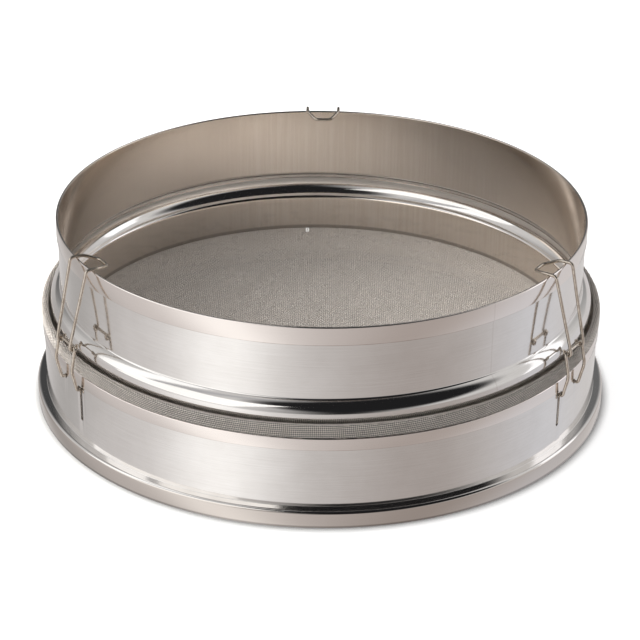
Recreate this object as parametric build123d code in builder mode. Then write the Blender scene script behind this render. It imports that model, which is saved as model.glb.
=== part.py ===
import os
from math import asin, atan2, cos, hypot, radians, sin

from build123d import *

# A drum sieve of two thin steel rings with a drum of woven wire cloth clamped between them.
# Millimetres. The origin is on the axis of the rings, on the plane that the sieve stands on.

# Rings
ring_radius = 150.0      # outside of the upper ring's wall, the nominal size of the sieve
ring_step = 10.0         # how much further out the lower ring's wall stands
ring_sheet = 0.7         # steel of both rings
hem_gap = 0.1            # air inside a folded edge

# Upper ring
skirt_foot = 30.2        # height of the edge that presses on the cloth
upper_height = 80.4      # whole height of the ring
upper_hem = 10.2         # how far the top edge is folded down outside
bead_rise = 21.5         # from the skirt's edge up to the bead
bead_height = 16.8
bead_depth = 5.9
bead_blend = 1.5         # outside radius where the bead runs into the wall

# Lower ring
lower_height = 51.3
lower_hem = 7.0
lip_height = 9.6         # upright lip that the sieve stands on
lip_reach = 5.3          # how far the lip stands out from the wall
lip_slope = 0.3          # how far the ledge rises from the lip to the wall
lip_bend = 2.1           # outside bend radius from the lip to the ledge
ledge_bend = 0.3         # outside bend radius from the ledge to the wall

# Cloth drum
cloth = 0.6              # two wires thick
cloth_seat = 0.1         # between the skirt's edge and the cloth
cloth_foot_run = 0.7     # of the floor, past the skirt's outside
cloth_foot_bend = 1.0    # bend where the floor turns up into the flank
cloth_flank_bend = 4.0   # bend where the flank turns into the rolled rim
roll_inset = 3.0         # rolled rim's inner face, inwards from the outside of the lower wall
roll_width = 4.0
roll_height = 7.7        # above the lower ring's top edge
roll_foot = 8.0          # height of the flank's upper end below the top of the roll
roll_edge_gap = 0.4      # between the cloth's cut edge and the lower ring's top edge
cloth_opening = 18.0     # side of a square opening; one stands for many meshes of the wire cloth
cloth_bar = 6.3          # between openings, which leaves the same share open as the wires do
cloth_border = 3.0       # least width left between the openings and the skirt

# Hoop inside the rolled rim
hoop_gap = 0.1           # all round, to the cloth and to the lower ring's edge

# Wire clips
wire = 1.8
back_clip_angle = 90.0
front_clip_turn = 122.0  # from the back clip to each front clip
keyhole_sides = (1, 1, -1)

# Link, the lower wire of a clip
link_half = 9.8          # half the distance between its arms
foot_half = 9.4          # half the distance between its ends in the wall
bow_rise = 12.5          # from the ends in the wall up to the widest point of the arms
bow_reach = 4.9          # widest point of the arms, outwards from the lower wall
bar_rise = 13.5          # from that point up to the cross-bar
bar_reach = 2.2          # cross-bar, outwards from the lower wall
elbow_reach = 1.9        # bend outside the hole, outwards from the lower wall
tail_inset = 2.2         # tail inside the wall, inwards from the outside of the lower wall
tail_length = 4.6
wire_bend = 1.5          # bend radius of the wire's centre line at tight corners
tail_bend = 1.1
bow_bend = 12.0

# Hook, the upper wire of a clip
shoulder_half = 9.7
shoulder_reach = 3.6     # outwards from the upper wall
rim_gap = 0.12           # between the hook and the rim's top
brow_inset = 4.0         # where the wire starts to drop, inwards from the upper wall
nose_half = 4.6
nose_inset = 11.5        # inwards from the upper wall
nose_drop = 1.4          # from the rim's top down to the nose's centre line
shoulder_bend = 2.2
brow_bend = 9.0
nose_bend = 3.5
eye_half = 7.4           # half the distance between the eyes
eye_gap = 0.3            # around the cross-bar
eye_tail_share = 0.6     # how far the eye closes, in radii above the cross-bar
eye_round_share = 0.98   # of the eye's radius, kept under it so that straight runs remain

# Holes in the lower wall
foot_gap = 0.5           # around the wire
hole_margin = 1.4        # between the holes and the folded edge above them
keyhole_width = 7.0
keyhole_slot = 2.6
keyhole_length = 19.3    # from the hole's centre down to the slot's lower end
overrun = 5.0            # of every cut, past the sheet

# Levels and radii that follow
lower_radius = ring_radius + ring_step
upper_top = skirt_foot + upper_height
cloth_top = skirt_foot - cloth_seat
wire_radius = wire / 2
hole_radius = wire_radius + foot_gap
pivot_height = lower_height - lower_hem - hole_margin - hole_radius
bow_height = pivot_height + bow_rise
bar_height = bow_height + bar_rise
fold_radius = hem_gap / 2
roll_inner = lower_radius - roll_inset
roll_outer = roll_inner + roll_width
roll_top = lower_height + roll_height
roll_radius = roll_width / 2
clip_angles = (back_clip_angle, back_clip_angle + front_clip_turn, back_clip_angle - front_clip_turn)
clip_names = ("back", "left", "right")

os.makedirs("parts", exist_ok=True)


def clip_plane(angle):
    """Plane at a clip: x outwards, y along the wall, z up."""
    out = Vector(cos(radians(angle)), sin(radians(angle)), 0)
    return Plane(origin=(0, 0, 0), x_dir=out, z_dir=(0, 0, 1))


def wall_plane(angle, reach):
    """Upright plane across a clip's direction: x along the wall, y up, z outwards."""
    out = Vector(cos(radians(angle)), sin(radians(angle)), 0)
    return Plane(origin=out * reach, x_dir=(-out.Y, out.X, 0), z_dir=out)


def hem(radius, top, depth):
    """Folded top edge, over the top and down outside, as lines of the sheet's outer face."""
    fold = top - ring_sheet - fold_radius
    over = ThreePointArc(
        (radius, fold),
        (radius + fold_radius, fold + fold_radius),
        (radius + hem_gap, fold),
    )
    Line(over @ 1, (radius + hem_gap, top - depth))


# Upper ring: skirt, bead, wall and hem, drawn as the outer face and thickened inwards
with BuildPart() as upper_ring:
    with BuildSketch(Plane.XZ):
        with BuildLine() as upper_face:
            bead_foot = skirt_foot + bead_rise
            bead_arc = ThreePointArc(
                (ring_radius, bead_foot),
                (ring_radius + bead_depth, bead_foot + bead_height / 2),
                (ring_radius, bead_foot + bead_height),
            )
            Line((ring_radius, skirt_foot), bead_arc @ 0)
            Line(bead_arc @ 1, (ring_radius, upper_top - ring_sheet - fold_radius))
            fillet(upper_face.vertices().sort_by(Axis.Y)[1:3], bead_blend)
            hem(ring_radius, upper_top, upper_hem)
            offset(amount=ring_sheet, side=Side.LEFT)
        make_face()
    revolve(axis=Axis.Z)
upper_ring.part.label = "upper_ring"
export_step(upper_ring.part, "parts/upper_ring.step")

# Lower ring: standing lip, ledge, wall and hem, with two holes for the feet of each link
with BuildPart() as lower_ring:
    with BuildSketch(Plane.XZ):
        with BuildLine():
            FilletPolyline(
                (lower_radius + lip_reach, 0),
                (lower_radius + lip_reach, lip_height),
                (lower_radius, lip_height + lip_slope),
                (lower_radius, lower_height - ring_sheet - fold_radius),
                radius=[lip_bend, ledge_bend],
            )
            hem(lower_radius, lower_height, lower_hem)
            offset(amount=ring_sheet, side=Side.RIGHT)
        make_face()
    revolve(axis=Axis.Z)
    for angle, side in zip(clip_angles, keyhole_sides):
        with BuildSketch(wall_plane(angle, lower_radius - overrun)):
            with Locations((-side * foot_half, pivot_height)):
                Circle(hole_radius)
            with Locations((side * foot_half, pivot_height)):
                SlotOverall(keyhole_width, 2 * hole_radius)
            with Locations((side * foot_half, pivot_height - keyhole_length / 2)):
                SlotOverall(keyhole_length, keyhole_slot, rotation=90)
        extrude(amount=2 * overrun, mode=Mode.SUBTRACT)
lower_ring.part.label = "lower_ring"
export_step(lower_ring.part, "parts/lower_ring.step")

def opening_places():
    """Centres of the square openings that fit whole inside the skirt."""
    pitch = cloth_opening + cloth_bar
    reach = ring_radius - ring_sheet - cloth_border
    half = cloth_opening / 2
    rows = int((reach + cloth_bar / 2) / pitch)
    centres = [(2 * row + 1) * pitch / 2 for row in range(-rows, rows)]
    return [(x, y) for x in centres for y in centres if hypot(abs(x) + half, abs(y) + half) < reach]


# Cloth drum: floor under the skirt's edge, flank between the rings, rim rolled over the hoop
with BuildPart() as mesh_cloth:
    with BuildSketch(Plane.XZ):
        with BuildLine():
            inner_face = FilletPolyline(
                (0, cloth_top),
                (ring_radius + cloth_foot_run, cloth_top),
                (roll_inner, roll_top - roll_foot),
                (roll_inner, roll_top - roll_radius),
                radius=[cloth_foot_bend, cloth_flank_bend],
            )
            roll_arc = ThreePointArc(
                inner_face @ 1,
                (roll_inner + roll_radius, roll_top),
                (roll_outer, roll_top - roll_radius),
            )
            Line(roll_arc @ 1, (roll_outer, lower_height + roll_edge_gap))
            offset(amount=cloth, side=Side.RIGHT)
        make_face()
    revolve(axis=Axis.Z)
    with BuildSketch(Plane.XY.offset(cloth_top + overrun)):
        with Locations(*opening_places()):
            Rectangle(cloth_opening, cloth_opening)
    extrude(amount=-(cloth + 2 * overrun), mode=Mode.SUBTRACT)
mesh_cloth.part.label = "mesh_cloth"
export_step(mesh_cloth.part, "parts/mesh_cloth.step")

# Hoop: flat strip on edge inside the rolled rim, its upper edge rounded to fit the roll
with BuildPart() as rim_hoop:
    with BuildSketch(Plane.XZ):
        with BuildLine():
            hoop_inner = roll_inner + cloth + hoop_gap
            hoop_outer = roll_outer - cloth - hoop_gap
            hoop_foot = lower_height + hoop_gap
            hoop_round = (hoop_outer - hoop_inner) / 2
            hoop_top = roll_top - cloth - hoop_gap
            Polyline(
                (hoop_inner, hoop_top - hoop_round),
                (hoop_inner, hoop_foot),
                (hoop_outer, hoop_foot),
                (hoop_outer, hoop_top - hoop_round),
            )
            ThreePointArc(
                (hoop_inner, hoop_top - hoop_round),
                (hoop_inner + hoop_round, hoop_top),
                (hoop_outer, hoop_top - hoop_round),
            )
        make_face()
    revolve(axis=Axis.Z)
rim_hoop.part.label = "rim_hoop"
export_step(rim_hoop.part, "parts/rim_hoop.step")


def link_route():
    """Half of the link's wire, from the tail inside the wall up to the cross-bar."""
    points = [
        (lower_radius - tail_inset, foot_half, pivot_height - tail_length),
        (lower_radius - tail_inset, foot_half, pivot_height),
        (lower_radius + elbow_reach, foot_half, pivot_height),
        (lower_radius + bow_reach, link_half, bow_height),
        (lower_radius + bar_reach, link_half, bar_height),
    ]
    return points, [tail_bend, wire_bend, bow_bend, wire_bend]


def hook_route():
    """Half of the hook's wire, from the eye round the cross-bar up over the rim to the nose."""
    bar = Vector(lower_radius + bar_reach, 0, bar_height)
    rim_line = upper_top + rim_gap + wire_radius
    shoulder = Vector(ring_radius + shoulder_reach, 0, rim_line)
    eye_radius = 2 * wire_radius + eye_gap
    to_bar = bar - shoulder
    slope = atan2(to_bar.Z, to_bar.X) + asin(eye_radius / to_bar.length)
    down = Vector(cos(slope), 0, sin(slope)) * eye_radius
    out = Vector(-sin(slope), 0, cos(slope)) * eye_radius
    along = Vector(0, eye_half, 0)
    points = [
        bar - out - down * eye_tail_share + along,
        bar - out + down + along,
        bar + out + down + along,
        shoulder + Vector(0, shoulder_half, 0),
        Vector(ring_radius - brow_inset, shoulder_half, rim_line),
        Vector(ring_radius - nose_inset, nose_half, upper_top - nose_drop),
    ]
    eye_bend = eye_radius * eye_round_share
    return points, [eye_bend, eye_bend, shoulder_bend, brow_bend, nose_bend]


def bent_wire(name, angle, points, bends):
    """A wire symmetrical about its clip's upright plane, given by one half of its corners."""
    corners = [tuple(point) for point in points]
    mirrored = [(x, -y, z) for x, y, z in reversed(corners)]
    with BuildPart() as bent:
        with BuildLine(clip_plane(angle)) as route:
            FilletPolyline(*corners, *mirrored, radius=[*bends, *reversed(bends)])
        with BuildSketch(Plane(origin=route.line @ 0, z_dir=route.line % 0)):
            Circle(wire_radius)
        sweep()
    bent.part.label = name
    export_step(bent.part, f"parts/{name}.step")


# Three clips: a link hinged in the lower wall, and a hook hinged on the link's cross-bar
for place, angle in zip(clip_names, clip_angles):
    bent_wire(f"link_{place}", angle, *link_route())
    bent_wire(f"hook_{place}", angle, *hook_route())
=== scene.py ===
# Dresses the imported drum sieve: two bright rolled rings, woven wire cloth and three wire clips.
import math

import bpy
import numpy as np
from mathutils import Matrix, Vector


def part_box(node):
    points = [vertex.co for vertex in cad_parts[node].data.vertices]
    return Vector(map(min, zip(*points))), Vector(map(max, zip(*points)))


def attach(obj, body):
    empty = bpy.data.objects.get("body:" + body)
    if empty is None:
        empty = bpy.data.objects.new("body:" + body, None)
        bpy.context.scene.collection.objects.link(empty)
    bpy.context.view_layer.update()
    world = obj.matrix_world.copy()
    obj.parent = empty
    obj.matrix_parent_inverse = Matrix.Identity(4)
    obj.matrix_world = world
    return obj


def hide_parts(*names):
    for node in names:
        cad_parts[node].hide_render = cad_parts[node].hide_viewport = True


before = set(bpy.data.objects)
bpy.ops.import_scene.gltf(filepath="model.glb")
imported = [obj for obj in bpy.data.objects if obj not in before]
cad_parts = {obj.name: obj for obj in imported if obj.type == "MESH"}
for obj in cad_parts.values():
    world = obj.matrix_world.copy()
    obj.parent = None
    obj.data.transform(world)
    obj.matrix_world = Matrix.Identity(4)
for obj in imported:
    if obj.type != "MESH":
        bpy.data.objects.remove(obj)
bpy.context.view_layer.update()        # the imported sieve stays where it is, the rest is built around it
mm = 0.001


# Sizes that both rings share

rings = {
    "sheet": 0.7 * mm,
    "hemGap": 0.1 * mm,
    "steps": 360,
    "arcStep": math.radians(8),
    "edgeRound": 0.12 * mm,
    "edgeSegments": 2,
    "edgeAngle": math.radians(50),
    "smoothAngle": math.radians(40),
    "mergeGap": 0.002 * mm,
    "tiny": 0.001 * mm,          # a shorter step or offset counts as none
}


# Moves that every piece needs

def pick(*pieces):
    if bpy.context.object and bpy.context.object.mode != "OBJECT":
        bpy.ops.object.mode_set(mode="OBJECT")
    bpy.ops.object.select_all(action="DESELECT")
    for piece in pieces:
        piece.select_set(True)
        bpy.context.view_layer.objects.active = piece


def applyModifier(piece, kind, **settings):
    pick(piece)
    modifier = piece.modifiers.new(kind.title(), kind)
    for key, value in settings.items():
        setattr(modifier, key, value)
    bpy.ops.object.modifier_apply(modifier=modifier.name)


def bakePlace(piece):
    pick(piece)
    bpy.ops.object.transform_apply(location=True, rotation=True, scale=True)


def newPiece(name):
    piece = bpy.context.object
    piece.name = name
    piece.data.name = name
    return piece


# Camera, set as the photograph was taken

view = {
    "place": (0, -1.1417, 0.6165),
    "aim": (-0.0004, 0, 0.03876),
    "roll": math.radians(0.647),
    "lens": 123.26,
    "sensor": 36,
}


def placeCamera():
    bpy.ops.object.camera_add(location=view["place"])
    camera = bpy.context.object
    camera.name = "camera"
    sight = Vector(view["aim"]) - Vector(view["place"])
    facing = sight.to_track_quat("-Z", "Y").to_matrix().to_4x4()
    facing.translation = view["place"]
    camera.matrix_world = facing
    camera.rotation_euler.rotate_axis("Z", view["roll"])
    camera.data.lens = view["lens"]
    camera.data.sensor_width = view["sensor"]
    bpy.context.scene.camera = camera
    print("camera placed")


placeCamera()


# Node helpers: a socket is linked, anything else is set as a value

def put(tree, target, value):
    if isinstance(value, bpy.types.NodeSocket):
        tree.links.new(value, target)
    else:
        target.default_value = value


def calc(tree, operation, *values):
    node = tree.nodes.new("ShaderNodeMath")
    node.operation = operation
    for socket, value in zip(node.inputs, values):
        put(tree, socket, value)
    return node.outputs[0]


def calcVector(tree, operation, *values):
    node = tree.nodes.new("ShaderNodeVectorMath")
    node.operation = operation
    for socket, value in zip(node.inputs, values):
        put(tree, socket, value)
    return node.outputs["Value" if operation in ("DOT_PRODUCT", "LENGTH") else "Vector"]


def scaled(tree, vector, factor):
    node = tree.nodes.new("ShaderNodeVectorMath")
    node.operation = "SCALE"
    put(tree, node.inputs[0], vector)
    put(tree, node.inputs["Scale"], factor)
    return node.outputs["Vector"]


def remap(tree, value, low, high, newLow, newHigh, kind="LINEAR"):
    node = tree.nodes.new("ShaderNodeMapRange")
    node.interpolation_type = kind
    for socket, number in zip(node.inputs, (value, low, high, newLow, newHigh)):
        put(tree, socket, number)
    return node.outputs[0]


def noise(tree, vector, scale, detail=2.0, rough=0.5):
    node = tree.nodes.new("ShaderNodeTexNoise")
    put(tree, node.inputs["Vector"], vector)
    node.inputs["Scale"].default_value = scale
    node.inputs["Detail"].default_value = detail
    node.inputs["Roughness"].default_value = rough
    return node.outputs["Fac"]


def blendColours(tree, factor, first, second):
    node = tree.nodes.new("ShaderNodeMix")
    node.data_type = "RGBA"
    put(tree, node.inputs["Factor"], factor)
    put(tree, node.inputs["A"], first)
    put(tree, node.inputs["B"], second)
    return node.outputs["Result"]


def flattened(tree, vector):
    return calcVector(tree, "MULTIPLY", vector, (1, 1, 0))


def lobe(tree, flat, heading, narrow):
    # 1 towards a heading, given in degrees, and less round it
    towards = (math.cos(math.radians(heading)), math.sin(math.radians(heading)), 0)
    facing = calc(tree, "MAXIMUM", calcVector(tree, "DOT_PRODUCT", flat, towards), 0.0)
    return calc(tree, "POWER", facing, narrow)


def bump(tree, height, distance, strength, under=None):
    node = tree.nodes.new("ShaderNodeBump")
    node.inputs["Strength"].default_value = strength
    node.inputs["Distance"].default_value = distance
    put(tree, node.inputs["Height"], height)
    if under:
        put(tree, node.inputs["Normal"], under)
    return node.outputs["Normal"]


def emptyMaterial(name):
    material = bpy.data.materials.new(name)
    material.use_nodes = True
    material.node_tree.nodes.clear()
    output = material.node_tree.nodes.new("ShaderNodeOutputMaterial")
    return material, material.node_tree, output


# Studio: white paper, panels that the steel mirrors, soft lights that it doesn't, a room with dark parts

studio = {
    "floorSize": 8.0,
    "floorGlow": 0.75,           # of the paper, for the camera alone, so that it is white
    "contactReach": 9 * mm,      # this near to the foot the glow fades, which leaves the shadow
    "contactOpen": (0.5, 0.86),  # how open the paper is where the glow starts and where it is full
    "floorPaper": (0.82, 0.82, 0.82, 1),
    "floorSeen": (0.6, 0.6, 0.6, 1),   # the same paper as the camera sees it
    "underSeen": (0.4, 0.39, 0.38, 1),
    "underLift": 0.2 * mm,       # of the paper below the cloth, which the steel does see
    "panels": {
        # all in degrees but the light; lean is how far the panel turns from its foot to its top
        "side": {
            "heading": 176, "spread": 24, "lean": -20, "low": 14, "high": 68,
            "light": (1.3, 1.3, 1.29),
        },
        "left": {
            "heading": 221, "spread": 52, "lean": 20, "low": 9, "high": 47,
            "light": (1.3, 1.29, 1.26),
        },
        "right": {
            "heading": 17, "spread": 24, "lean": 24, "low": 6, "high": 42,
            "light": (1.3, 1.3, 1.32),
        },
        "above": {
            "heading": 90, "spread": 360, "lean": 0, "low": 62, "high": 88,
            "light": (1.3, 1.29, 1.27),
        },
        "beside": {
            "heading": 170, "spread": 84, "lean": 0, "low": 20, "high": 46,
            "light": (9.6, 9.4, 9.1),
        },
    },
    "softOnly": ("above", "beside"),     # these light the cloth and the paper alone
    "panelReach": 1.6,
    "panelSteps": 36,
}

# Light of the room by direction: heading in degrees, how narrow, and what it adds
belowHorizon = {
    "all round": (0.67, 0.645, 0.635),
    "lobes": [
        (228, 11, (0.48, 0.49, 0.48)),
        (313, 4, (-0.235, -0.25, -0.26)),
        (140, 10, (-0.21, -0.20, -0.20)),
        (15, 8, (0.02, 0.045, 0.08)),
    ],
}
aboveHorizon = {
    "all round": (0.70, 0.69, 0.68),
    "lobes": [
        (280, 10, (-0.68, -0.67, -0.66)),
        (110, 8, (-0.58, -0.57, -0.56)),
        (195, 30, (-0.22, -0.21, -0.19)),
        (72, 10, (-0.42, -0.41, -0.40)),
    ],
}
darkRoom = {
    "heading": math.radians(302),
    "rise": math.radians(52),
    "edge": (0.70, 0.84),        # as cosines from its middle
    "light": (0.015, 0.015, 0.016, 1),
    "horizon": (0.03, 0.11),     # height of a direction where the paper gives way to the room
}


def lobeSum(tree, flat, light):
    total = light["all round"]
    for heading, narrow, colour in light["lobes"]:
        total = calcVector(tree, "ADD", total, scaled(tree, colour, lobe(tree, flat, heading, narrow)))
    return total


def lightRoom():
    world = bpy.data.worlds.new("room")
    bpy.context.scene.world = world
    world.use_nodes = True
    tree = world.node_tree
    tree.nodes.clear()
    direction = tree.nodes.new("ShaderNodeTexCoord").outputs["Generated"]
    split = tree.nodes.new("ShaderNodeSeparateXYZ")
    put(tree, split.inputs[0], direction)
    flat = calcVector(tree, "NORMALIZE", flattened(tree, direction))
    up = remap(tree, split.outputs["Z"], *darkRoom["horizon"], 0.0, 1.0, "SMOOTHSTEP")
    low, high = lobeSum(tree, flat, belowHorizon), lobeSum(tree, flat, aboveHorizon)
    heading, rise = darkRoom["heading"], darkRoom["rise"]
    middle = (math.cos(heading) * math.cos(rise), math.sin(heading) * math.cos(rise), math.sin(rise))
    near = calcVector(tree, "DOT_PRODUCT", calcVector(tree, "NORMALIZE", direction), middle)
    dark = remap(tree, near, *darkRoom["edge"], 0.0, 1.0, "SMOOTHSTEP")
    high = blendColours(tree, dark, high, darkRoom["light"])
    background = tree.nodes.new("ShaderNodeBackground")
    put(tree, background.inputs["Color"], blendColours(tree, up, low, high))
    output = tree.nodes.new("ShaderNodeOutputWorld")
    put(tree, output.inputs["Surface"], background.outputs[0])
    print("room lit")


def glowMaterial(name, light):
    material, tree, output = emptyMaterial(name)
    glow = tree.nodes.new("ShaderNodeEmission")
    glow.inputs["Color"].default_value = (*light, 1)
    put(tree, output.inputs["Surface"], glow.outputs[0])
    return material


def paperMaterial(name, seenColour, glowing):
    material, tree, output = emptyMaterial(name)
    paper = tree.nodes.new("ShaderNodeBsdfDiffuse")
    paper.inputs["Color"].default_value = studio["floorPaper"]
    seen = tree.nodes.new("ShaderNodeBsdfDiffuse")
    seen.inputs["Color"].default_value = seenColour
    near = tree.nodes.new("ShaderNodeAmbientOcclusion")
    near.inputs["Distance"].default_value = studio["contactReach"]
    glow = tree.nodes.new("ShaderNodeEmission")
    strength = remap(tree, near.outputs["AO"], *studio["contactOpen"], 0.0, glowing)
    put(tree, glow.inputs["Strength"], strength)
    both = tree.nodes.new("ShaderNodeAddShader")
    put(tree, both.inputs[0], seen.outputs[0])
    put(tree, both.inputs[1], glow.outputs[0])
    rays = tree.nodes.new("ShaderNodeLightPath")
    choice = tree.nodes.new("ShaderNodeMixShader")
    put(tree, choice.inputs[0], rays.outputs["Is Camera Ray"])
    put(tree, choice.inputs[1], paper.outputs[0])
    put(tree, choice.inputs[2], both.outputs[0])
    put(tree, output.inputs["Surface"], choice.outputs[0])
    return material


def addPanel(name, panel):
    bpy.ops.mesh.primitive_grid_add(x_subdivisions=studio["panelSteps"], y_subdivisions=1, size=1)
    piece = newPiece(f"panel_{name}")
    for vertex in piece.data.vertices:
        turn = panel["spread"] * vertex.co.x + panel["lean"] * vertex.co.y
        heading = math.radians(panel["heading"] + turn)
        rise = math.radians(panel["low"] if vertex.co.y < 0 else panel["high"])
        reach = studio["panelReach"]
        vertex.co = (
            reach * math.cos(heading) * math.cos(rise),
            reach * math.sin(heading) * math.cos(rise),
            reach * math.sin(rise),
        )
    piece.data.materials.append(glowMaterial(f"panel_{name}", panel["light"]))
    piece.visible_camera = False
    piece.visible_glossy = name not in studio["softOnly"]


def buildStudio():
    bpy.ops.mesh.primitive_plane_add(size=studio["floorSize"])
    floor = newPiece("floor")
    floor.data.materials.append(paperMaterial("floor_paper", studio["floorSeen"], studio["floorGlow"]))
    floor.visible_glossy = False      # the steel sees the room's own light there
    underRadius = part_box("lower_ring")[1].x - rings["sheet"] / 2
    bpy.ops.mesh.primitive_circle_add(
        vertices=rings["steps"], radius=underRadius, fill_type="NGON", location=(0, 0, studio["underLift"])
    )
    under = newPiece("floor_under_cloth")
    under.data.materials.append(paperMaterial("under_paper", studio["underSeen"], 0.0))
    for name, panel in studio["panels"].items():
        addPanel(name, panel)
    lightRoom()
    print("studio built")


buildStudio()
bpy.context.scene.view_settings.view_transform = "Standard"


# Steels, all read from the object's own coordinates

steels = {
    "ring_steel": {
        "metal": 1.0, "bright": (0.86, 0.84, 0.825, 1), "dull": (0.78, 0.755, 0.735, 1),
        "rough": (0.07, 0.13), "lines": (30, 30, 2600), "lineDepth": 0.004 * mm, "lineStrength": 0.10,
        "wave": 14, "waveDepth": 0.25 * mm, "waveStrength": 0.5,
    },
    "clip_steel": {
        "metal": 1.0, "bright": (0.74, 0.68, 0.61, 1), "dull": (0.46, 0.39, 0.32, 1),
        "rough": (0.16, 0.30), "lines": (900, 900, 120), "lineDepth": 0.01 * mm, "lineStrength": 0.25,
        "wave": 160, "waveDepth": 0.05 * mm, "waveStrength": 0.3,
    },
    "cloth_steel": {
        "metal": 0.1, "bright": (0.93, 0.87, 0.815, 1), "dull": (0.80, 0.75, 0.70, 1),
        "rough": (0.24, 0.34), "lines": (2500, 2500, 2500), "lineDepth": 0.01 * mm, "lineStrength": 0.2,
        "wave": 40, "waveDepth": 0.05 * mm, "waveStrength": 0.2,
    },
    # painted shade: the hoop is made dark to stand for the shade under the cloth's roll, so the holes over
    # it read dark
    "hoop_steel": {
        "metal": 1.0, "bright": (0.30, 0.29, 0.28, 1), "dull": (0.22, 0.21, 0.20, 1),
        "rough": (0.35, 0.5), "lines": (30, 30, 2200), "lineDepth": 0.01 * mm, "lineStrength": 0.3,
        "wave": 30, "waveDepth": 0.05 * mm, "waveStrength": 0.2,
    },
}


grain = {
    "lineDetail": (3.0, 0.6),    # detail and roughness of the fine lines
    "waveDetail": 1.0,
    "smearScale": 3,             # smears are this much finer than the waves
    "smearDetail": (4.0, 0.6),
    "toneRange": (0.35, 0.65),
    "roughRange": (0.3, 0.7),
}


def steelMaterial(name):
    look = steels[name]
    material, tree, output = emptyMaterial(name)
    place = tree.nodes.new("ShaderNodeTexCoord").outputs["Object"]
    stretched = calcVector(tree, "MULTIPLY", place, look["lines"])
    lines = noise(tree, stretched, 1.0, *grain["lineDetail"])
    waves = noise(tree, place, look["wave"], grain["waveDetail"])
    smears = noise(tree, place, look["wave"] * grain["smearScale"], *grain["smearDetail"])
    steel = tree.nodes.new("ShaderNodeBsdfPrincipled")
    steel.inputs["Metallic"].default_value = look["metal"]
    mixed = calc(tree, "MULTIPLY", calc(tree, "ADD", smears, lines), 0.5)
    tone = remap(tree, mixed, *grain["toneRange"], 0.0, 1.0)
    put(tree, steel.inputs["Base Color"], blendColours(tree, tone, look["bright"], look["dull"]))
    put(tree, steel.inputs["Roughness"], remap(tree, smears, *grain["roughRange"], *look["rough"]))
    rolled = bump(tree, waves, look["waveDepth"], look["waveStrength"])
    put(tree, steel.inputs["Normal"], bump(tree, lines, look["lineDepth"], look["lineStrength"], rolled))
    put(tree, output.inputs["Surface"], steel.outputs[0])
    return material


# Marks of use and painted shade on a ring, by height and distance from the axis

marks = {
    "soft": 0.2 * mm,            # edge of a mark
    "line": 0.55 * mm,           # brown line under each folded edge, partly residue and partly painted shade under its step
    "brown": (0.34, 0.25, 0.20, 1),
    "lineStrength": 0.9,
    "worn": {"scale": 60, "detail": (4.0, 0.7), "range": (0.3, 0.6), "least": 0.25},
    "band": (0.87, 0.80, 0.76, 1),
    "bandStrength": 0.75,        # the folded edge is a little warmer than the wall
    "foot": 1.1 * mm,
    "footSoft": 0.4 * mm,
    "footShadeTone": (0.30, 0.28, 0.27, 1),
    "footShadeStrength": 0.8,         # painted shade along the standing edge, where it meets the paper
    "lip": (0.62, 0.56, 0.515, 1),
    "lipStrength": 0.8,
    "seam": {"upper_ring": 307, "lower_ring": 52},
    "seamHalf": 0.35 * mm,
    "seamTone": (0.52, 0.46, 0.43, 1),
    "seamStrength": 0.2,
}
# real tarnish of the inner face, together with painted shade and a painted contact shadow
tarnishAndShade = {
    "tone": (0.83, 0.735, 0.645, 1),
    "strength": 0.85,
    "blur": 0.07,                # the inner face is rougher by this
    "streaks": (700, 700, 14),
    "streakRough": 0.6,
    "streakRange": (0.4, 0.62),
    "streakTone": (0.98, 0.93, 0.87, 1),
    "streakStrength": 0.35,
    "patches": 9,
    "patchRange": (0.42, 0.62),
    "paintedShades": [                  # heading, how narrow, strength, tone and lowest height of painted shade on the inner face
        (124, 14, 0.32, (0.24, 0.21, 0.19, 1), 0.0),
        (55, 14, 0.3, (0.22, 0.22, 0.23, 1), 68 * mm),
    ],
    "shadeBand": 2.2 * mm,           # half height of the painted contact shadow where the upper ring presses on the cloth, and how far the painted shades fade in
    "contactShadeSoft": 0.6 * mm,
    "contactShadeTone": (0.38, 0.34, 0.31, 1),
    "contactShadeStrength": 0.75,
}


def between(tree, value, low, high, soft):
    rising = remap(tree, value, low - soft, low + soft, 0.0, 1.0, "SMOOTHSTEP")
    falling = remap(tree, value, high - soft, high + soft, 1.0, 0.0, "SMOOTHSTEP")
    return calc(tree, "MULTIPLY", rising, falling)


def tint(tree, colour, mask, strength, tone):
    return blendColours(tree, calc(tree, "MULTIPLY", mask, strength), colour, tone)


def innerFace(tree, colour, place, height, foot):
    # warm tarnish in upright streaks, painted shade in parts, and a painted contact shadow at a foot that
    # presses on the cloth
    patches = noise(tree, place, tarnishAndShade["patches"])
    patches = remap(tree, patches, *tarnishAndShade["patchRange"], 0.0, tarnishAndShade["streakStrength"])
    stretched = calcVector(tree, "MULTIPLY", place, tarnishAndShade["streaks"])
    streaks = noise(tree, stretched, 1.0, rough=tarnishAndShade["streakRough"])
    streaks = calc(tree, "MULTIPLY", patches, remap(tree, streaks, *tarnishAndShade["streakRange"], 0.0, 1.0))
    inside = blendColours(tree, tarnishAndShade["strength"], colour, tarnishAndShade["tone"])
    inside = blendColours(tree, streaks, inside, tarnishAndShade["streakTone"])
    around = calcVector(tree, "NORMALIZE", flattened(tree, place))
    # painted shade: the inner face darkened towards given headings, above a given height
    for heading, narrow, strength, tone, lowest in tarnishAndShade["paintedShades"]:
        shade = calc(tree, "MULTIPLY", lobe(tree, around, heading, narrow), strength)
        above = remap(tree, height, lowest - tarnishAndShade["shadeBand"], lowest, 0.0, 1.0)
        inside = tint(tree, inside, shade, above, tone)
    # painted contact shadow: a dark band round the foot, where the ring meets the cloth
    if foot:
        reach = tarnishAndShade["shadeBand"]
        shadeBand = between(tree, height, foot - reach, foot + reach, tarnishAndShade["contactShadeSoft"])
        inside = tint(tree, inside, shadeBand, tarnishAndShade["contactShadeStrength"], tarnishAndShade["contactShadeTone"])
    return inside


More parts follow.
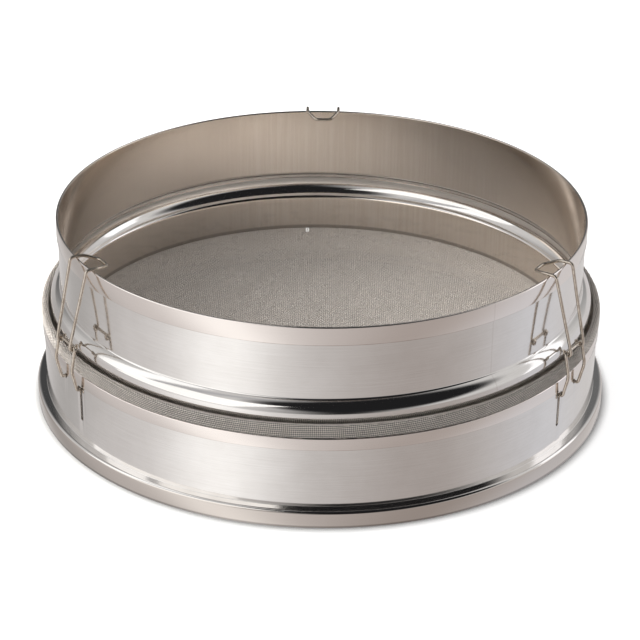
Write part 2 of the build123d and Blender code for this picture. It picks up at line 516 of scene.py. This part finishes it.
def foldMarks(tree, colour, place, height, outer, fold, hem):
    # the folded edge is warmer, with a brown line under it that is partly residue and partly painted
    # shade, worn in places
    worn = noise(tree, place, marks["worn"]["scale"], *marks["worn"]["detail"])
    worn = remap(tree, worn, *marks["worn"]["range"], marks["worn"]["least"], 1.0)
    edge = calc(tree, "MULTIPLY", outer, between(tree, height, fold, fold + 2 * hem, marks["soft"]))
    colour = tint(tree, colour, edge, marks["bandStrength"], marks["band"])
    line = calc(tree, "MULTIPLY", outer, between(tree, height, fold - marks["line"], fold, marks["soft"]))
    return tint(tree, colour, calc(tree, "MULTIPLY", line, worn), marks["lineStrength"], marks["brown"])


def lipMarks(tree, colour, height, foot, lip):
    # the lip face is darker than the wall, and painted shade darkens it most where it stands
    face = between(tree, height, foot - lip, lip - rings["sheet"], marks["soft"])
    colour = tint(tree, colour, face, marks["lipStrength"], marks["lip"])
    # painted shade: a dark band at the bottom of the lip, where it stands on the paper
    edge = between(tree, height, foot - marks["foot"], foot + marks["foot"], marks["footSoft"])
    return tint(tree, colour, edge, marks["footShadeStrength"], marks["footShadeTone"])


def seamMark(tree, colour, place, node):
    turn = math.radians(marks["seam"][node])
    turned = (math.cos(turn), math.sin(turn), 0)
    across = calcVector(tree, "DOT_PRODUCT", place, (-turned[1], turned[0], 0))
    facing = calc(tree, "GREATER_THAN", calcVector(tree, "DOT_PRODUCT", place, turned), 0.0)
    seam = between(tree, across, -marks["seamHalf"], marks["seamHalf"], marks["soft"])
    seam = calc(tree, "MULTIPLY", seam, facing)
    return tint(tree, colour, seam, marks["seamStrength"], marks["seamTone"])


def ringMaterial(name, node, wall, hem, lip):
    material = steelMaterial("ring_steel")
    material.name = name
    tree = material.node_tree
    steel = next(part for part in tree.nodes if part.type == "BSDF_PRINCIPLED")
    colour, rough = (steel.inputs[key].links[0].from_socket for key in ("Base Color", "Roughness"))
    place = tree.nodes.new("ShaderNodeTexCoord").outputs["Object"]
    split = tree.nodes.new("ShaderNodeSeparateXYZ")
    put(tree, split.inputs[0], place)
    height = split.outputs["Z"]
    low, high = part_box(node)
    middle = wall - rings["sheet"] / 2
    axisGap = calcVector(tree, "LENGTH", flattened(tree, place))
    outer = remap(tree, axisGap, middle - marks["soft"], middle + marks["soft"], 0.0, 1.0)
    inside = innerFace(tree, colour, place, height, 0 if lip else low.z)
    colour = blendColours(tree, outer, inside, colour)
    colour = foldMarks(tree, colour, place, height, outer, high.z - hem, hem)
    if lip:
        colour = lipMarks(tree, colour, height, low.z, lip)
    put(tree, steel.inputs["Base Color"], seamMark(tree, colour, place, node))
    blur = calc(tree, "MULTIPLY", calc(tree, "SUBTRACT", 1.0, outer), tarnishAndShade["blur"])
    put(tree, steel.inputs["Roughness"], calc(tree, "ADD", rough, blur))
    return material


finish = {name: steelMaterial(name) for name in steels if name != "ring_steel"}
print("steels mixed")


# Rings: the outer face is drawn as one line, spun round the axis and thickened inwards

upper = {
    "beadDepth": 5.9 * mm,
    "beadRise": 21.5 * mm,
    "beadHeight": 16.8 * mm,
    "beadBlend": 1.5 * mm,
    "hem": 10.2 * mm,
}
lower = {
    "lipReach": 5.3 * mm,
    "lipHeight": 9.6 * mm,
    "lipSlope": 0.3 * mm,
    "lipBend": 2.1 * mm,
    "ledgeBend": 0.3 * mm,
    "hem": 7 * mm,
    "footHalf": 9.4 * mm,
    "holeRadius": 1.4 * mm,
    "holeBelowHem": 2.8 * mm,
    "keyholeWidth": 7 * mm,
    "slotWidth": 2.6 * mm,
    "slotLength": 19.3 * mm,
    "cutDepth": 10 * mm,
    "cutSides": 48,
    "keyholeSides": {"back": 1, "left": 1, "right": -1},
}


def arc(centre, radius, start, end):
    count = max(2, math.ceil(abs(end - start) / rings["arcStep"]))
    turns = [start + (end - start) * i / count for i in range(count + 1)]
    return [(centre[0] + radius * math.cos(t), centre[1] + radius * math.sin(t)) for t in turns]


def rounded(corners, radii):
    # corners of a line in (radius, height), each inner one rounded by an arc
    line = [corners[0]]
    for before, corner, after, radius in zip(corners, corners[1:], corners[2:], radii):
        here = Vector(corner)
        back, ahead = (Vector(before) - here).normalized(), (Vector(after) - here).normalized()
        half = back.angle(ahead) / 2
        middle = (back + ahead).normalized()
        centre = here + middle * (radius / math.sin(half))
        first, last = (here + side * (radius / math.tan(half)) - centre for side in (back, ahead))
        start = math.atan2(first.y, first.x)
        turn = math.atan2(first.cross(last), first.dot(last))
        line += arc(centre, radius, start, start + turn)
    return line + [corners[-1]]


def hemLine(radius, top, depth):
    # over the top and down outside, with a little air in the fold
    fold = rings["hemGap"] / 2
    centre = (radius + fold, top - rings["sheet"] - fold)
    return arc(centre, fold, math.pi, 0) + [(radius + 2 * fold, top - depth)]


def beadLine(radius, foot):
    # round bead pressed outwards, running into the wall by a blend at each end
    depth, half, blend = upper["beadDepth"], upper["beadHeight"] / 2, upper["beadBlend"]
    bead = (half ** 2 + depth ** 2) / (2 * depth)
    centre = Vector((radius + depth - bead, foot + half))
    rise = math.sqrt((bead + blend) ** 2 - (radius + blend - centre.x) ** 2)
    line = []
    for side in (-1, 1):
        blendCentre = Vector((radius + blend, centre.y + side * rise))
        towards = centre - blendCentre
        lean = math.atan2(towards.y, towards.x) % math.tau
        turns = (math.pi, lean) if side < 0 else (lean, math.pi)
        line.append(arc(blendCentre, blend, *turns))
    reach = math.atan2(rise, radius + blend - centre.x)
    return line[0] + arc(centre, bead, -reach, reach) + line[1]


def drawLine(name, points):
    # a plane merged to one vertex, which is then extruded from point to point
    start = Vector((points[0][0], 0, points[0][1]))
    bpy.ops.mesh.primitive_plane_add(size=mm, location=start)
    piece = newPiece(name)
    bakePlace(piece)
    bpy.ops.object.mode_set(mode="EDIT")
    bpy.ops.mesh.select_all(action="SELECT")
    bpy.ops.mesh.merge(type="CENTER")
    for (oldR, oldZ), (newR, newZ) in zip(points, points[1:]):
        move = (newR - oldR, 0, newZ - oldZ)
        if math.hypot(*move) > rings["tiny"]:
            bpy.ops.mesh.extrude_vertices_move(TRANSFORM_OT_translate={"value": move})
    bpy.ops.object.mode_set(mode="OBJECT")
    return piece


def spinRing(name, points):
    piece = drawLine(name, points)
    bpy.ops.object.mode_set(mode="EDIT")
    bpy.ops.mesh.select_all(action="SELECT")
    bpy.ops.mesh.spin(steps=rings["steps"], angle=math.tau, center=(0, 0, 0), axis=(0, 0, 1))
    bpy.ops.mesh.select_all(action="SELECT")
    bpy.ops.mesh.remove_doubles(threshold=rings["mergeGap"])
    bpy.ops.mesh.normals_make_consistent(inside=False)
    bpy.ops.object.mode_set(mode="OBJECT")
    applyModifier(piece, "SOLIDIFY", thickness=rings["sheet"], offset=1.0, use_even_offset=True)
    return piece


def finishRing(piece, node, wall, hem, lip=0):
    applyModifier(
        piece, "BEVEL", width=rings["edgeRound"], segments=rings["edgeSegments"],
        limit_method="ANGLE", angle_limit=rings["edgeAngle"],
    )
    pick(piece)
    bpy.ops.object.shade_smooth_by_angle(angle=rings["smoothAngle"])
    piece.data.materials.append(ringMaterial(f"{node}_steel", node, wall, hem, lip))
    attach(piece, "base")
    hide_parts(node)
    size = [round(side / mm, 2) for side in piece.dimensions]
    print(piece.name, "made", size, len(piece.data.polygons), "faces")


def makeUpperRing():
    low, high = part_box("upper_ring")
    radius = high.x - upper["beadDepth"]
    line = [(radius, low.z)] + beadLine(radius, low.z + upper["beadRise"])
    piece = spinRing("upper_ring_sheet", line + hemLine(radius, high.z, upper["hem"]))
    finishRing(piece, "upper_ring", radius, upper["hem"])


def stadium(width, height, heading, across, level, wallRadius):
    # a round-ended cutter through the wall, at a clip
    short, long = sorted((width, height))
    bpy.ops.mesh.primitive_circle_add(
        vertices=lower["cutSides"], radius=short / 2, fill_type="NGON", rotation=(0, math.pi / 2, 0)
    )
    piece = newPiece("cutter")
    bakePlace(piece)
    axis = 1 if width > height else 2
    for vertex in piece.data.vertices:
        if abs(vertex.co[axis]) > rings["tiny"]:
            vertex.co[axis] += math.copysign((long - short) / 2, vertex.co[axis])
    bpy.ops.object.mode_set(mode="EDIT")
    bpy.ops.mesh.select_all(action="SELECT")
    bpy.ops.transform.translate(value=(wallRadius - lower["cutDepth"] / 2, across, level))
    bpy.ops.mesh.extrude_region_move(TRANSFORM_OT_translate={"value": (lower["cutDepth"], 0, 0)})
    bpy.ops.mesh.select_all(action="SELECT")
    bpy.ops.mesh.normals_make_consistent(inside=False)
    bpy.ops.object.mode_set(mode="OBJECT")
    piece.rotation_euler.z = heading
    bakePlace(piece)
    return piece


def cutHoles(piece, cutters):
    pick(*cutters)
    bpy.ops.object.join()
    cutter = bpy.context.object
    applyModifier(piece, "BOOLEAN", operation="DIFFERENCE", object=cutter, solver="EXACT")
    bpy.data.objects.remove(cutter)


def makeLowerRing():
    low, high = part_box("lower_ring")
    radius, top = high.x - lower["lipReach"], high.z
    wall = rounded(
        [
            (radius + lower["lipReach"], low.z),
            (radius + lower["lipReach"], low.z + lower["lipHeight"]),
            (radius, low.z + lower["lipHeight"] + lower["lipSlope"]),
            (radius, top - rings["sheet"] - rings["hemGap"] / 2),
        ],
        [lower["lipBend"], lower["ledgeBend"]],
    )
    piece = spinRing("lower_ring_sheet", wall + hemLine(radius, top, lower["hem"])[1:])
    level = top - lower["hem"] - lower["holeBelowHem"]
    first, second = [], []
    for name, side in lower["keyholeSides"].items():
        heading, half, wide = clipHeading(name), lower["footHalf"], 2 * lower["holeRadius"]
        slotWidth, slotLength = lower["slotWidth"], lower["slotLength"]
        slotLevel = level - slotLength / 2
        first.append(stadium(wide, wide, heading, -side * half, level, radius))
        first.append(stadium(slotWidth, slotLength, heading, side * half, slotLevel, radius))
        second.append(stadium(lower["keyholeWidth"], wide, heading, side * half, level, radius))
    cutHoles(piece, first)
    cutHoles(piece, second)
    finishRing(piece, "lower_ring", radius, lower["hem"], lower["lipHeight"])


def clipHeading(name):
    low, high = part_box(f"link_{name}")
    return math.atan2(low.y + high.y, low.x + high.x)


makeUpperRing()
makeLowerRing()


# Woven cloth: every wire is real, woven flat in bands and then laid over the drum

weave = {
    "wire": 0.34 * mm,
    "pitch": 1.15 * mm,
    "sheet": 0.6 * mm,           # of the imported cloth, which the wires follow by its middle
    "sides": 4,
    "bands": 5,
    "footRun": 0.7 * mm,         # of the floor, past the upper ring's wall
    "footBend": 1.3 * mm,        # bends are those of the middle of the cloth
    "flankBend": 3.7 * mm,
    "rollInset": 3 * mm,
    "rollWidth": 4 * mm,
    "rollFoot": 8 * mm,
    "edgeGap": 0.4 * mm,         # between the cut edge and the lower ring's top
    "lineStep": 0.05 * mm,
    "leastRadius": 1e-6 * mm,    # at the axis itself
    "overhang": 0.9,             # pitches that a wire may run past the edge before it is cut
    "mergeShare": 0.1,           # of a wire's radius
}


def drumLine():
    # the middle of the cloth from the axis outwards: floor, flank, and the rim rolled over the hoop
    low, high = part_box("mesh_cloth")
    thick = weave["sheet"]
    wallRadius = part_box("upper_ring")[1].x - upper["beadDepth"]
    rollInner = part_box("lower_ring")[1].x - lower["lipReach"] - weave["rollInset"] + thick / 2
    rollRadius = (weave["rollWidth"] - thick) / 2
    rollMiddle = high.z - weave["rollWidth"] / 2
    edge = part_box("lower_ring")[1].z + weave["edgeGap"]
    floorLevel = low.z + thick / 2
    line = rounded(
        [
            (0.0, floorLevel),
            (wallRadius + weave["footRun"], floorLevel),
            (rollInner, high.z - weave["rollFoot"]),
            (rollInner, rollMiddle),
        ],
        [weave["footBend"], weave["flankBend"]],
    )
    line += arc((rollInner + rollRadius, rollMiddle), rollRadius, math.pi, 0)
    return np.array(line + [(rollInner + 2 * rollRadius, edge)])


def evenLine(line):
    # the same line by its own length, with the direction square to it
    step = np.hypot(*np.diff(line, axis=0).T)
    along = np.concatenate([[0], np.cumsum(step)])
    along, keep = np.unique(along, return_index=True)
    line = line[keep]
    even = np.arange(0, along[-1], weave["lineStep"])
    radius, level = np.interp(even, along, line[:, 0]), np.interp(even, along, line[:, 1])
    slopeR, slopeZ = np.gradient(radius), np.gradient(level)
    size = np.hypot(slopeR, slopeZ)
    return even, radius, level, -slopeZ / size, slopeR / size


drum = evenLine(drumLine())
clothReach = float(drum[0][-1])
print("cloth lies flat to radius", round(clothReach / mm, 1))


def layOverDrum(piece):
    count = len(piece.data.vertices)
    spots = np.empty(count * 3)
    piece.data.vertices.foreach_get("co", spots)
    x, y, height = spots.reshape(-1, 3).T
    flat = np.maximum(np.hypot(x, y), weave["leastRadius"])
    along = np.minimum(flat, clothReach)
    even, radius, level, outR, outZ = drum
    reach = np.interp(along, even, radius) + height * np.interp(along, even, outR)
    rise = np.interp(along, even, level) + height * np.interp(along, even, outZ)
    laid = np.column_stack([x / flat * reach, y / flat * reach, rise])
    piece.data.vertices.foreach_set("co", laid.ravel())
    piece.data.update()


def weaveBand(name, across, band):
    pitch, radius = weave["pitch"], weave["wire"] / 2
    half = math.ceil(clothReach / pitch / 2) * 2 + 2
    edges = [2 * round(half * (2 * i / weave["bands"] - 1) / 2) for i in range(weave["bands"] + 1)]
    firstRow, rows = edges[band], edges[band + 1] - edges[band]
    over = radius if across else -radius
    bpy.ops.mesh.primitive_circle_add(
        vertices=weave["sides"], radius=radius, rotation=(0, math.pi / 2, 0),
        location=(-half * pitch, firstRow * pitch, over),
    )
    piece = newPiece(name)
    bakePlace(piece)
    bpy.ops.object.mode_set(mode="EDIT")
    bpy.ops.mesh.select_all(action="SELECT")
    for swing in (-2 * over, 2 * over):
        bpy.ops.mesh.extrude_region_move(TRANSFORM_OT_translate={"value": (pitch, 0, swing)})
    bpy.ops.object.mode_set(mode="OBJECT")
    applyModifier(
        piece, "ARRAY", use_relative_offset=False, use_constant_offset=True,
        use_merge_vertices=True, merge_threshold=radius * weave["mergeShare"],
        constant_offset_displace=(2 * pitch, 0, 0), count=half,
    )
    bpy.ops.object.mode_set(mode="EDIT")
    bpy.ops.mesh.select_all(action="SELECT")
    bpy.ops.mesh.duplicate_move(TRANSFORM_OT_translate={"value": (pitch, pitch, 0)})
    bpy.ops.object.mode_set(mode="OBJECT")
    applyModifier(
        piece, "ARRAY", use_relative_offset=False, use_constant_offset=True,
        constant_offset_displace=(0, 2 * pitch, 0), count=rows // 2,
    )
    if across:
        piece.rotation_euler.z = math.pi / 2
        bakePlace(piece)
    spots = np.empty(len(piece.data.vertices) * 3)
    piece.data.vertices.foreach_get("co", spots)
    outside = np.hypot(*spots.reshape(-1, 3)[:, :2].T) > clothReach + weave["overhang"] * pitch
    bpy.ops.object.mode_set(mode="EDIT")
    bpy.ops.mesh.select_mode(type="VERT")
    bpy.ops.mesh.select_all(action="DESELECT")
    bpy.ops.object.mode_set(mode="OBJECT")
    piece.data.vertices.foreach_set("select", outside)
    bpy.ops.object.mode_set(mode="EDIT")
    bpy.ops.mesh.delete(type="VERT")
    bpy.ops.mesh.select_all(action="SELECT")
    bpy.ops.mesh.fill_holes(sides=weave["sides"])
    bpy.ops.mesh.select_all(action="SELECT")
    bpy.ops.mesh.normals_make_consistent(inside=False)
    bpy.ops.mesh.faces_shade_smooth()
    bpy.ops.object.mode_set(mode="OBJECT")
    layOverDrum(piece)
    piece.data.materials.append(finish["cloth_steel"])
    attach(piece, "base")
    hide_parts("mesh_cloth")
    print(name, "woven,", len(piece.data.polygons), "faces")


for band in range(weave["bands"]):
    weaveBand(f"cloth_warp_{band + 1}", False, band)
    weaveBand(f"cloth_weft_{band + 1}", True, band)


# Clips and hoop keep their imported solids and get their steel

for name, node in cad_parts.items():
    if name.startswith(("link_", "hook_")) or name == "rim_hoop":
        steel = finish["hoop_steel" if name == "rim_hoop" else "clip_steel"]
        node.data.materials.clear()
        node.data.materials.append(steel)
print("clips and hoop finished")
